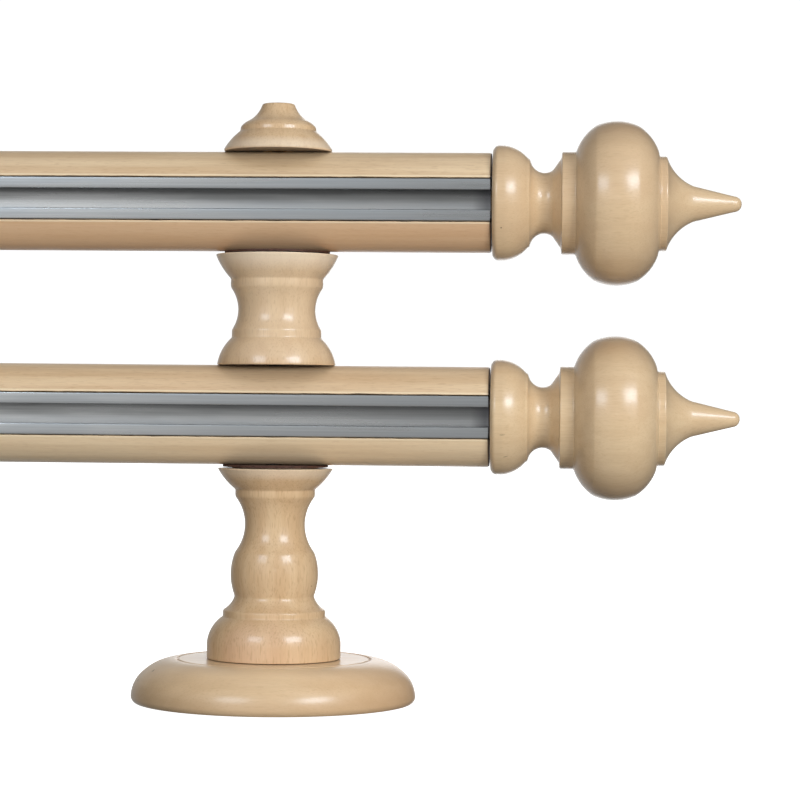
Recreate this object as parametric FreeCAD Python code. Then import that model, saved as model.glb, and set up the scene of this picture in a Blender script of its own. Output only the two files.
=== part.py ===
"""Double curtain pole: two grooved wooden poles with glider tracks on two turned double brackets.

Millimetres. The wall is the plane z = 0 and +Z leaves it, along the brackets. The poles lie along X,
and their tracks open towards -Y, which is down on the wall. The origin is midway between the brackets.
"""
import FreeCAD, Part
import math
import os

from FreeCAD import Vector

os.makedirs("parts", exist_ok=True)

# Overall sizes
POLE_LENGTH = 1200.0
POLE_R = 14.0
BRACKET_INSET = 60.0
FINIAL_GAP = 0.8

# Swells of turned bands: the height of the arc over its chord, as a share of the chord
ROUND = 0.2
FULL = 0.11
PLUMP = 0.095
SOFT = 0.085
SLIGHT = 0.05
STRAIGHT = 0.0
HOLLOW = -0.1
DEEP = -0.11
WAIST = -0.16
TIGHT = -0.175
NECK = -0.26

# Rosette, the turned cover on the wall
ROSETTE_R = 40.0
ROSETTE_BACK_R = 39.1
ROSETTE_EDGE_H = 1.5
ROSETTE_SIDE_H = 6.9
ROSETTE_CROWN_R = 36.6
ROSETTE_CROWN_H = 3.6
ROSETTE_FLAT_R = 28.0
RING_INSET = 0.9
RING_WIDTH = 0.9
RING_DEPTH = 0.5
RECESS_R = 26.0
RECESS_DEPTH = 4.5

# Wall plate in the rosette's back
PLATE_R = 24.0
PLATE_THICK = 2.0
PLATE_BOSS_R = 6.0
PLATE_SCREW_R = 2.6
PLATE_SCREW_PCD = 34.0

# Threaded rod through the stack, with its nut and washer
STUD_R = 3.0
STUD_SINK = 0.4
STUD_CLEARANCE = 0.3
NUT_FLATS = 10.0
NUT_H = 5.0
CLAMP_WASHER_R = 8.5
CLAMP_WASHER_THICK = 1.6
COUNTERBORE_CLEARANCE = 0.5

# Stem, from its foot on the rosette up to its rim
STEM_FOOT_R = 18.85
STEM_FOOT_H = 4.6
STEM_SHOULDER_R = 14.6
STEM_SHOULDER_H = 7.2
STEM_RING_R = 14.4
STEM_RING_H = 1.9
STEM_HOLLOW_R = 11.15
STEM_HOLLOW_H = 3.9
STEM_BULB_TOP_R = 11.15
STEM_BULB_H = 12.4
STEM_COLLAR_R = 11.15
STEM_NECK_H = 15.5
STEM_COLLAR_H = 2.0
STEM_RIM_R = 16.3
STEM_FLARE_H = 6.1

# Spacer, from its foot on the rear pole up to its rim
SPACER_FOOT_R = 16.7
SPACER_BELL_R = 12.75
SPACER_BELL_H = 7.6
SPACER_RING_R = 12.6
SPACER_RING_H = 2.3
SPACER_COLLAR_R = 12.9
SPACER_WAIST_H = 11.8
SPACER_COLLAR_H = 2.5
SPACER_RIM_R = 17.3
SPACER_FLARE_H = 6.9

# Seats: a low landing on each rim and a thin washer under each pole
LANDING_R = 12.0
LANDING_H = 0.35
SEAT_WASHER_R = 14.8
SEAT_WASHER_THICK = 0.55

# Cap on the front pole
CAP_BACK_R = 14.9
CAP_RIM_R = 15.3
CAP_RIM_H = 0.6
CAP_DOME_R = 10.75
CAP_DOME_H = 5.2
CAP_RING_R = 10.6
CAP_RING_H = 1.2
CAP_SHOULDER_R = 9.0
CAP_SHOULDER_H = 1.5
CAP_NOSE_R = 4.7
CAP_NOSE_H = 4.5
CAP_TIP_R = 4.0
CAP_TIP_H = 0.6
INSERT_R = 4.5
INSERT_H = 7.0
INSERT_END_GAP = 0.8

# Finial, from the bell's face out to the tip
BELL_FACE_R = 15.1
BELL_R = 16.1
BELL_CORNER_H = 1.6
BELL_BAND_H = 1.4
BELL_NOSE_R = 12.6
BELL_NOSE_H = 6.4
BELL_LIP_R = 12.3
BELL_LIP_H = 0.6
NECK_START_R = 11.4
NECK_STEP_H = 0.3
NECK_END_R = 9.3
NECK_H = 6.2
CONE_R = 12.6
CONE_H = 2.3
FLANGE_R = 14.35
FLANGE_STEP_H = 0.2
FLANGE_H = 3.9
BALL_SIDE_R = 21.65
BALL_BACK_H = 5.4
BALL_MIDDLE_H = 11.9
BALL_FRONT_R = 14.7
BALL_FRONT_H = 5.65
COLLAR_R = 13.2
COLLAR_STEP_H = 0.3
COLLAR_H = 2.0
SPIKE_ROOT_R = 5.0
SPIKE_ROOT_H = 7.45
SPIKE_END_R = 2.2
SPIKE_H = 11.4
TIP_H = 2.1
DOWEL_R = 3.5
DOWEL_IN_POLE = 15.0
DOWEL_IN_FINIAL = 14.0
DOWEL_END_GAP = 0.8

# Glider track, an open channel set in the pole's groove
TRACK_WIDTH = 11.7
TRACK_WALL = 1.1
TRACK_SLOT = 5.5
TRACK_LIP_ROUND = 0.35
GROOVE_CLEARANCE = 0.2
GROOVE_WEB = 0.85
TRACK_SCREW_PLACES = (150.0, 440.0)
SCREW_HEAD_R = 2.4
SCREW_HEAD_H = 0.9
SCREW_SHANK_R = 1.5
SCREW_LENGTH = 11.0

# Heights of the stack, each piece on the one before it
STEM_H = (STEM_FOOT_H + STEM_SHOULDER_H + STEM_RING_H + STEM_HOLLOW_H + STEM_BULB_H + STEM_NECK_H
          + STEM_COLLAR_H + STEM_FLARE_H)
SPACER_H = (SPACER_BELL_H + SPACER_RING_H + SPACER_WAIST_H + SPACER_COLLAR_H + SPACER_FLARE_H)
ROSETTE_H = ROSETTE_EDGE_H + ROSETTE_SIDE_H + ROSETTE_CROWN_H
REAR_SEAT_Z = ROSETTE_H + STEM_H + LANDING_H
REAR_POLE_Z = REAR_SEAT_Z + SEAT_WASHER_THICK + POLE_R
SPACER_Z = REAR_POLE_Z + POLE_R
FRONT_SEAT_Z = SPACER_Z + SPACER_H + LANDING_H
FRONT_POLE_Z = FRONT_SEAT_Z + SEAT_WASHER_THICK + POLE_R
CAP_Z = FRONT_POLE_Z + POLE_R

BRACKET_X = POLE_LENGTH / 2 - BRACKET_INSET
FINIAL_X = POLE_LENGTH / 2 + FINIAL_GAP
BORE_R = STUD_R + STUD_CLEARANCE
GROOVE_HALF = TRACK_WIDTH / 2 + GROOVE_CLEARANCE
TRACK_FRONT_Y = -math.sqrt(POLE_R ** 2 - GROOVE_HALF ** 2)
TRACK_BACK_Y = -(DOWEL_R + GROOVE_WEB)
TRACK_FLOOR_Y = TRACK_BACK_Y - TRACK_WALL

SIDES = {"left": -1, "right": 1}
POLES = {"rear": REAR_POLE_Z, "front": FRONT_POLE_Z}
Z_AXIS = Vector(0, 0, 1)
X_AXIS = Vector(1, 0, 0)
Y_AXIS = Vector(0, 1, 0)


def band(start, end, swell):
    """Edge of a turned outline: a line, or an arc that stands out from its chord by the swell."""
    if swell == STRAIGHT:
        return Part.LineSegment(start, end).toShape()
    outward = Vector(end.z - start.z, 0, start.x - end.x)
    return Part.Arc(start, (start + end) * 0.5 + outward * swell, end).toShape()


def dome(start, top):
    """Edge of a turned outline that ends on the axis: an arc of a ball centred on the axis."""
    rise = top.z - start.z
    ball_r = (rise ** 2 + start.x ** 2) / (2 * rise)
    half_turn = math.atan2(start.x, ball_r - rise) / 2
    middle = Vector(ball_r * math.sin(half_turn), 0, top.z - ball_r + ball_r * math.cos(half_turn))
    return Part.Arc(start, middle, top).toShape()


def turned(first_radius, bands, dome_h=0):
    """Solid turned about Z from z = 0, by bands of (rise, radius reached, swell) and a dome on top."""
    point = Vector(first_radius, 0, 0)
    edges = [Part.LineSegment(Vector(), point).toShape()]
    for rise, radius, swell in bands:
        after = Vector(radius, 0, point.z + rise)
        edges.append(band(point, after, swell))
        point = after
    top = Vector(0, 0, point.z + dome_h)
    if dome_h:
        edges.append(dome(point, top))
    else:
        edges.append(Part.LineSegment(point, top).toShape())
    edges.append(Part.LineSegment(top, Vector()).toShape())
    return Part.Face(Part.Wire(edges)).revolve(Vector(), Z_AXIS, 360)


def rod(radius, length, base=Vector(), axis=Z_AXIS):
    """Round solid of one radius from its base along its axis."""
    return Part.makeCylinder(radius, length, base, axis)


def tube(outer, inner, length, base=Vector(), axis=Z_AXIS):
    """Ring or sleeve."""
    return rod(outer, length, base, axis).cut(rod(inner, length, base, axis))


def raised(shape, height):
    """The same shape moved up by a height."""
    return shape.translated(Vector(0, 0, height))


def rosette():
    """Turned cover with a fine ring on its flat top and a recess for the plate in its back."""
    body = turned(ROSETTE_BACK_R, [
        (ROSETTE_EDGE_H, ROSETTE_R, STRAIGHT),
        (ROSETTE_SIDE_H, ROSETTE_CROWN_R, FULL),
        (ROSETTE_CROWN_H, ROSETTE_FLAT_R, SLIGHT)])
    ring_r = ROSETTE_FLAT_R - RING_INSET
    corners = [Vector(ring_r - RING_WIDTH / 2, 0, ROSETTE_H),
               Vector(ring_r, 0, ROSETTE_H - RING_DEPTH),
               Vector(ring_r + RING_WIDTH / 2, 0, ROSETTE_H)]
    ring = Part.Face(Part.makePolygon(corners + corners[:1])).revolve(Vector(), Z_AXIS, 360)
    recess = rod(RECESS_R, RECESS_DEPTH)
    return body.cut(Part.makeCompound([ring, recess])).cut(rod(BORE_R, ROSETTE_H))


def wall_plate():
    """Steel disc flush with the rosette's back, its tapped boss up to the recess's ceiling."""
    plate = rod(PLATE_R, PLATE_THICK).fuse(rod(PLATE_BOSS_R, RECESS_DEPTH))
    holes = [rod(PLATE_SCREW_R, PLATE_THICK, Vector(0, side * PLATE_SCREW_PCD / 2, 0)) for side in (-1, 1)]
    return plate.cut(Part.makeCompound(holes)).cut(rod(STUD_R, RECESS_DEPTH))


def stud():
    """Threaded rod from the wall plate to the end of the insert in the cap."""
    return rod(STUD_R, CAP_Z + INSERT_H - STUD_SINK, Vector(0, 0, STUD_SINK))


def clamp_washer():
    """Washer that holds the rosette down inside the stem's foot."""
    return raised(tube(CLAMP_WASHER_R, BORE_R, CLAMP_WASHER_THICK), ROSETTE_H)


def clamp_nut():
    """Hexagon nut on the washer."""
    corner_r = NUT_FLATS / 2 / math.cos(math.pi / 6)
    corners = [Vector(corner_r * math.cos(turn * math.pi / 3), corner_r * math.sin(turn * math.pi / 3), 0)
               for turn in range(7)]
    nut = Part.Face(Part.makePolygon(corners)).extrude(Vector(0, 0, NUT_H)).cut(rod(STUD_R, NUT_H))
    return raised(nut, ROSETTE_H + CLAMP_WASHER_THICK)


def stem():
    """Turned post with foot, shoulder, bulb, neck and flared rim, hollowed below for the nut."""
    body = turned(STEM_FOOT_R, [
        (STEM_FOOT_H, STEM_FOOT_R, STRAIGHT),
        (STEM_SHOULDER_H, STEM_SHOULDER_R, FULL),
        (0, STEM_RING_R, STRAIGHT),
        (STEM_RING_H, STEM_RING_R, STRAIGHT),
        (STEM_HOLLOW_H, STEM_HOLLOW_R, HOLLOW),
        (STEM_BULB_H, STEM_BULB_TOP_R, PLUMP),
        (STEM_NECK_H, STEM_COLLAR_R, TIGHT),
        (STEM_COLLAR_H, STEM_COLLAR_R, STRAIGHT),
        (STEM_FLARE_H, STEM_RIM_R, SLIGHT),
        (0, LANDING_R, STRAIGHT),
        (LANDING_H, LANDING_R, STRAIGHT)])
    clamp_room = rod(CLAMP_WASHER_R + COUNTERBORE_CLEARANCE,
                     CLAMP_WASHER_THICK + NUT_H + COUNTERBORE_CLEARANCE)
    body = body.cut(clamp_room).cut(rod(BORE_R, STEM_H + LANDING_H))
    return raised(body, ROSETTE_H)


def seat_washer(height):
    """Thin disc on a rim's landing, tangent to the pole above it."""
    return raised(tube(SEAT_WASHER_R, BORE_R, SEAT_WASHER_THICK), height)


def spacer():
    """Turned post between the two poles, waisted, with a flared rim."""
    body = turned(SPACER_FOOT_R, [
        (SPACER_BELL_H, SPACER_BELL_R, SLIGHT),
        (0, SPACER_RING_R, STRAIGHT),
        (SPACER_RING_H, SPACER_RING_R, STRAIGHT),
        (SPACER_WAIST_H, SPACER_COLLAR_R, WAIST),
        (SPACER_COLLAR_H, SPACER_COLLAR_R, STRAIGHT),
        (SPACER_FLARE_H, SPACER_RIM_R, SLIGHT),
        (0, LANDING_R, STRAIGHT),
        (LANDING_H, LANDING_R, STRAIGHT)])
    return raised(body.cut(rod(BORE_R, SPACER_H + LANDING_H)), SPACER_Z)


def cap():
    """Turned end piece in three tiers, with a blind hole for its insert."""
    body = turned(CAP_BACK_R, [
        (CAP_RIM_H, CAP_RIM_R, STRAIGHT),
        (CAP_DOME_H, CAP_DOME_R, SLIGHT),
        (CAP_RING_H, CAP_RING_R, STRAIGHT),
        (CAP_SHOULDER_H, CAP_SHOULDER_R, STRAIGHT),
        (CAP_NOSE_H, CAP_NOSE_R, HOLLOW),
        (CAP_TIP_H, CAP_TIP_R, STRAIGHT)])
    return raised(body.cut(rod(INSERT_R, INSERT_H + INSERT_END_GAP)), CAP_Z)


def cap_insert():
    """Threaded sleeve in the cap."""
    return raised(tube(INSERT_R, STUD_R, INSERT_H), CAP_Z)


def finial(side, height):
    """Turned bell, neck, flange, ball, collar and spike, bored for its dowel, on one pole end."""
    body = turned(BELL_FACE_R, [
        (BELL_CORNER_H, BELL_R, ROUND),
        (BELL_BAND_H, BELL_R, STRAIGHT),
        (BELL_NOSE_H, BELL_NOSE_R, PLUMP),
        (BELL_LIP_H, BELL_LIP_R, STRAIGHT),
        (NECK_STEP_H, NECK_START_R, STRAIGHT),
        (NECK_H, NECK_END_R, NECK),
        (CONE_H, CONE_R, STRAIGHT),
        (FLANGE_STEP_H, FLANGE_R, STRAIGHT),
        (FLANGE_H, FLANGE_R, STRAIGHT),
        (BALL_BACK_H, BALL_SIDE_R, SOFT),
        (BALL_MIDDLE_H, BALL_SIDE_R, FULL),
        (BALL_FRONT_H, BALL_FRONT_R, SOFT),
        (COLLAR_STEP_H, COLLAR_R, STRAIGHT),
        (COLLAR_H, COLLAR_R, STRAIGHT),
        (SPIKE_ROOT_H, SPIKE_ROOT_R, DEEP),
        (SPIKE_H, SPIKE_END_R, STRAIGHT)], TIP_H)
    body = body.cut(rod(DOWEL_R, DOWEL_IN_FINIAL + DOWEL_END_GAP))
    body.rotate(Vector(), Y_AXIS, 90 * side)
    return body.translated(Vector(side * FINIAL_X, 0, height))


def dowel(side, height):
    """Round wooden pin from the pole's end into the finial."""
    inner_end = POLE_LENGTH / 2 - DOWEL_IN_POLE
    length = DOWEL_IN_POLE + FINIAL_GAP + DOWEL_IN_FINIAL
    return rod(DOWEL_R, length, Vector(side * inner_end, 0, height), X_AXIS * side)


def screw_places():
    """X of each track screw, mirrored about the middle of the pole."""
    return [side * place for side in SIDES.values() for place in TRACK_SCREW_PLACES]


def pole(height):
    """Round pole with a groove for the track, stud bores, end bores and pilot holes."""
    body = rod(POLE_R, POLE_LENGTH, Vector(-POLE_LENGTH / 2, 0, height), X_AXIS)
    groove = Part.makeBox(POLE_LENGTH, POLE_R + TRACK_BACK_Y, 2 * GROOVE_HALF,
                          Vector(-POLE_LENGTH / 2, -POLE_R, height - GROOVE_HALF))
    cuts = [groove]
    for side in SIDES.values():
        cuts.append(rod(BORE_R, 2 * POLE_R, Vector(side * BRACKET_X, 0, height - POLE_R)))
        bore_start = POLE_LENGTH / 2 - DOWEL_IN_POLE - DOWEL_END_GAP
        cuts.append(rod(DOWEL_R, POLE_LENGTH / 2 - bore_start, Vector(side * bore_start, 0, height),
                        X_AXIS * side))
    for place in screw_places():
        cuts.append(rod(SCREW_SHANK_R, SCREW_LENGTH + TRACK_FLOOR_Y - TRACK_BACK_Y,
                        Vector(place, TRACK_BACK_Y, height), Y_AXIS))
    return body.cut(Part.makeCompound(cuts))


def track(height):
    """C channel with two lips beside its slot and countersunk holes in its floor."""
    half, wall, slot = TRACK_WIDTH / 2, TRACK_WALL, TRACK_SLOT / 2
    front, back = TRACK_FRONT_Y, TRACK_BACK_Y
    upper = [(front, slot), (front, half), (back, half)]
    inside = [(back - wall, half - wall), (front + wall, half - wall), (front + wall, slot)]
    outline = upper + [(y, -z) for y, z in reversed(upper)] + [(y, -z) for y, z in reversed(inside)] + inside
    corners = [Vector(-POLE_LENGTH / 2, y, height + z) for y, z in outline]
    body = Part.Face(Part.makePolygon(corners + corners[:1])).extrude(Vector(POLE_LENGTH, 0, 0))
    lip_edges = [edge for edge in body.Edges
                 if edge.BoundBox.XLength > POLE_LENGTH / 2
                 and abs(abs(edge.CenterOfMass.z - height) - slot) < TRACK_LIP_ROUND / 2]
    body = body.makeFillet(TRACK_LIP_ROUND, lip_edges)
    return body.cut(Part.makeCompound([screw(place, height) for place in screw_places()]))


def screw(place, height):
    """Countersunk screw, its head flush with the track's floor and its shank in the pole."""
    base = Vector(place, TRACK_FLOOR_Y, height)
    head = Part.makeCone(SCREW_HEAD_R, SCREW_SHANK_R, SCREW_HEAD_H, base, Y_AXIS)
    return head.fuse(rod(SCREW_SHANK_R, SCREW_LENGTH, base, Y_AXIS))


def bracket():
    """Pieces of one bracket by name, standing on the wall at x = 0."""
    return {
        "rosette": rosette(),
        "wall_plate": wall_plate(),
        "stud": stud(),
        "clamp_washer": clamp_washer(),
        "clamp_nut": clamp_nut(),
        "stem": stem(),
        "rear_seat_washer": seat_washer(REAR_SEAT_Z),
        "spacer": spacer(),
        "front_seat_washer": seat_washer(FRONT_SEAT_Z),
        "cap": cap(),
        "cap_insert": cap_insert(),
    }


def build():
    """Every piece of the product by node name."""
    nodes = {}
    pieces = bracket()
    for side, sign in SIDES.items():
        for name, shape in pieces.items():
            nodes[f"{side}_{name}"] = shape.translated(Vector(sign * BRACKET_X, 0, 0))
    for name, height in POLES.items():
        nodes[f"{name}_pole"] = pole(height)
        nodes[f"{name}_track"] = track(height)
        nodes[f"{name}_track_screws"] = Part.makeCompound([screw(place, height) for place in screw_places()])
        for side, sign in SIDES.items():
            nodes[f"{name}_{side}_finial"] = finial(sign, height)
            nodes[f"{name}_{side}_dowel"] = dowel(sign, height)
    return nodes


for node, shape in build().items():
    shape.exportStep(f"parts/{node}.step")
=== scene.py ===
"""Double curtain pole in varnished beech with aluminium glider tracks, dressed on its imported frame.

The frame is in metres: the wall is z = 0, +Z leaves it along the brackets, the poles lie along X and the
tracks open towards -Y. Outlines are written in millimetres, as a turner reads them, and every place is
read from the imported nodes. The visible wood and the tracks are fine surfaces worked out with numpy; the
steel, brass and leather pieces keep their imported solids.
"""
import logging
import math
from dataclasses import dataclass, field, replace
from enum import Enum

import bpy
import numpy as np
from bpy.types import Material, Node, NodeOutputs, NodeSocket, NodeTree, Object
from mathutils import Matrix, Vector


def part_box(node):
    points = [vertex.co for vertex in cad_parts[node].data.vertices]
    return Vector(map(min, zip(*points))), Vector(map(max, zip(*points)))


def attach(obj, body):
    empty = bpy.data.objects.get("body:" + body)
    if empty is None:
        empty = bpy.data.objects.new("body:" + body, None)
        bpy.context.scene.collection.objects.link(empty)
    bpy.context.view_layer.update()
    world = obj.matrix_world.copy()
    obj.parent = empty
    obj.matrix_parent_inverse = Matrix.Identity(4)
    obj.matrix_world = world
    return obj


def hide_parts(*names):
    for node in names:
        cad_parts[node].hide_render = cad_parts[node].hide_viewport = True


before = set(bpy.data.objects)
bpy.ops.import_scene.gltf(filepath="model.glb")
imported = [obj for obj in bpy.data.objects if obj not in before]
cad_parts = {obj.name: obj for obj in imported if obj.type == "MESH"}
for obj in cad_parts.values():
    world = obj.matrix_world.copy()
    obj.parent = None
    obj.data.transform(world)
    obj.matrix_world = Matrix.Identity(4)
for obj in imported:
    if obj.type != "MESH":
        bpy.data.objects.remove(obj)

LOG = logging.getLogger("curtain_pole")
BODY = "root"
MM = 0.001
SIDES = {"left": -1, "right": 1}
POLES = ("rear", "front")
METAL = {"Metallic": 1.0}
SHARP_ANGLE = math.radians(40.0)
FEWEST_STEPS = 8
BELL_REACH = 4
SECTION_STEP = 0.05
SECTION_LONGEST = 1.6

Colour = tuple[float, float, float]
Triple = tuple[float, float, float]


class Swell(Enum):
    """Height of a turned band's arc over its chord, as a share of the chord; below zero is hollow."""

    ROUND = 0.2
    FULL = 0.11
    PLUMP = 0.095
    SOFT = 0.085
    SLIGHT = 0.05
    STRAIGHT = 0.0
    HOLLOW = -0.1
    DEEP = -0.11
    WAIST = -0.16
    TIGHT = -0.175
    NECK = -0.26


class Shows(Enum):
    """What a light reaches: the wood's own colour or its reflections, as Cycles' two ray settings."""

    COLOUR = (True, False)
    REFLECTION = (False, True)


class Grain(Enum):
    """Direction of the wood's fibres, as the turn in degrees that brings it to the figure's Z."""

    ALONG_X = (0.0, -90.0, 0.0)
    ALONG_Z = (0.0, 0.0, 0.0)


def srgb(red: int, green: int, blue: int) -> Colour:
    """Linear colour of three 8-bit display values."""
    shares = np.array([red, green, blue]) / 255.0
    linear = np.where(shares <= 0.04045, shares / 12.92, ((shares + 0.055) / 1.055) ** 2.4)
    return tuple(float(value) for value in linear)


@dataclass(frozen=True)
class Band:
    """One band of a turned outline: how far it runs along the axis and the radius it reaches."""

    rise: float
    radius: float
    swell: Swell = Swell.STRAIGHT


@dataclass(frozen=True)
class Outline:
    """Outer line of a turned piece as a chain of bands, in millimetres from its back face.

    The line is a list of (along, radius) points. It starts on the bore at the back face, runs out to the
    first radius, along the bands, and ends at the bore again or, where the end is solid, on the axis.
    """

    first_radius: float
    bands: tuple[Band, ...]
    bore: float = 0.0
    solid_end: bool = False
    dome: float = 0.0
    edge: float = 0.22

    ARC_POINTS = 60
    FINE_STEP = 0.03
    LONGEST_ROW = 1.0
    TURN_PER_ROW = math.radians(6.0)

    def corners(self) -> np.ndarray:
        """Outer line with sharp corners; an arc's points lie at even turns about its own centre."""
        lines = [np.array([[0.0, self.bore]]), np.array([[0.0, self.first_radius]])]
        start = np.array([0.0, self.first_radius])
        for band in self.bands:
            end = start + [band.rise, band.radius - start[1]]
            lines.append(self.arc(start, end, band.swell.value))
            start = end
        if self.dome:
            lines.append(self.ball_end(start))
        else:
            lines.append(np.array([[start[0], 0.0 if self.solid_end else self.bore]]))
        return np.concatenate(lines)

    def arc(self, start: np.ndarray, end: np.ndarray, swell: float) -> np.ndarray:
        """Points of one band after its start.

        Args:
            start: (along, radius) of the band's start.
            end: (along, radius) of its end.
            swell: The arc's height over its chord, as a share of the chord.

        Returns:
            Points of the arc, which spans twice the angle whose half tangent is twice the swell.
        """
        if not swell:
            return end[None]
        chord = end - start
        length = np.hypot(*chord)
        along = chord / length
        outward = np.array([-along[1], along[0]])
        half = 2 * math.atan(2 * abs(swell))
        radius = length / (2 * math.sin(half))
        turn = np.linspace(-half, half, self.ARC_POINTS)[1:, None]
        height = radius * (np.cos(turn) - math.cos(half)) * np.sign(swell)
        return (start + end) / 2 + along * radius * np.sin(turn) + outward * height

    def ball_end(self, start: np.ndarray) -> np.ndarray:
        """Arc of a ball centred on the axis, from the last band to the tip."""
        ball = (self.dome ** 2 + start[1] ** 2) / (2 * self.dome)
        first = math.atan2(start[1], ball - self.dome)
        turn = np.linspace(first, 0.0, self.ARC_POINTS)[1:]
        return np.stack([start[0] + self.dome - ball + ball * np.cos(turn), ball * np.sin(turn)], axis=1)

    def softened(self) -> np.ndarray:
        """Outer line with its corners rounded off and its rows set where it turns."""
        return settle_rows(soften(self.corners(), self.edge, self.FINE_STEP),
                           self.LONGEST_ROW, self.TURN_PER_ROW)


def soften(line: np.ndarray, width: float, step: float, closed: bool = False) -> np.ndarray:
    """Rounds a line's corners as sanding does.

    The line is cut into even steps by its length, and each coordinate is averaged with a bell curve of
    the given width along it. An open line is carried on beyond its ends by point reflection, which keeps
    the ends in place.

    Args:
        line: Points, one row each.
        width: Standard deviation of the bell curve.
        step: Distance between the points of the result.
        closed: Whether the last point joins the first.

    Returns:
        The rounded points.
    """
    if closed:
        line = np.concatenate([line, line[:1]])
    lengths = np.concatenate([[0.0], np.cumsum(np.hypot(*np.diff(line, axis=0).T))])
    count = max(int(lengths[-1] / step), FEWEST_STEPS)
    places = np.linspace(0.0, lengths[-1], count + 1)
    even = np.stack([np.interp(places, lengths, column) for column in line.T], axis=1)
    reach = int(BELL_REACH * width / step) + 1
    bell = np.exp(-0.5 * (np.arange(-reach, reach + 1) * step / width) ** 2)
    bell /= bell.sum()
    if closed:
        even = even[:-1]
        padded = np.concatenate([even[-reach:], even, even[:reach]])
    else:
        before = 2 * even[0] - even[reach:0:-1]
        after = 2 * even[-1] - even[-2:-reach - 2:-1]
        padded = np.concatenate([before, even, after])
    return np.stack([np.convolve(column, bell, mode="valid") for column in padded.T], axis=1)


def settle_rows(line: np.ndarray, longest: float, turn: float, closed: bool = False) -> np.ndarray:
    """Keeps as many points as the line's length and turns need.

    The places are even in the sum of the length over the longest step and the angle over the turn per
    step, so straight runs have few points and corners have many.

    Args:
        line: Points, one row each, closely spaced.
        longest: Longest step between two points.
        turn: Largest turn between two steps, in radians.
        closed: Whether the last point joins the first.

    Returns:
        The chosen points.
    """
    if closed:
        line = np.concatenate([line, line[:1]])
    steps = np.diff(line, axis=0)
    angles = np.unwrap(np.arctan2(steps[:, 1], steps[:, 0]))
    bends = np.abs(np.diff(angles, prepend=angles[0]))
    measure = np.concatenate([[0.0], np.cumsum(np.hypot(*steps.T) / longest + bends / turn)])
    places = np.linspace(0.0, measure[-1], int(math.ceil(measure[-1])) + 1)
    chosen = np.stack([np.interp(places, measure, column) for column in line.T], axis=1)
    return chosen[:-1] if closed else chosen


def new_piece(name: str, points: np.ndarray, faces: list) -> Object:
    """Puts a surface into the scene as a smooth mesh.

    Args:
        name: The piece's name.
        points: Places in metres, one row each.
        faces: Vertex numbers of each face, outside seen anticlockwise.

    Returns:
        The new object, at the origin, with its place in its mesh.
    """
    mesh = bpy.data.meshes.new(name)
    mesh.from_pydata(points.tolist(), [], faces)
    mesh.polygons.foreach_set("use_smooth", np.ones(len(mesh.polygons), dtype=bool))
    mesh.set_sharp_from_angle(angle=SHARP_ANGLE)
    mesh.update()
    piece = bpy.data.objects.new(name, mesh)
    bpy.context.scene.collection.objects.link(piece)
    return piece


def grid_faces(rows: int, columns: int, closed: bool) -> np.ndarray:
    """Quads of a grid round a closed row, whose vertex numbers run along the columns first.

    Args:
        rows: Number of rows of vertices.
        columns: Number of vertices in a row.
        closed: Whether the last row joins the first.

    Returns:
        Four vertex numbers for each quad: along the row, then up to the next row.
    """
    row, column = np.meshgrid(np.arange(rows if closed else rows - 1), np.arange(columns), indexing="ij")
    next_row = (row + 1) % rows
    next_column = (column + 1) % columns
    quads = [row * columns + column, row * columns + next_column,
             next_row * columns + next_column, next_row * columns + column]
    return np.stack(quads, axis=-1).reshape(-1, 4)


@dataclass(frozen=True)
class Spindle:
    """Axis that a piece is turned about: where its back face lies and where its outline runs to."""

    base: Triple
    axis: Triple

    def place(self, along: np.ndarray, radius: np.ndarray, turn: np.ndarray) -> np.ndarray:
        """Points at a distance along the axis, a radius from it and a turn about it, in metres."""
        axis = Vector(self.axis)
        across = Vector((0, 0, 1)).cross(axis) if abs(axis.z) < 0.5 else Vector((1, 0, 0))
        third = axis.cross(across)
        return (np.array(self.base) + along[..., None] * np.array(axis)
                + (radius * np.cos(turn))[..., None] * np.array(across)
                + (radius * np.sin(turn))[..., None] * np.array(third))


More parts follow.
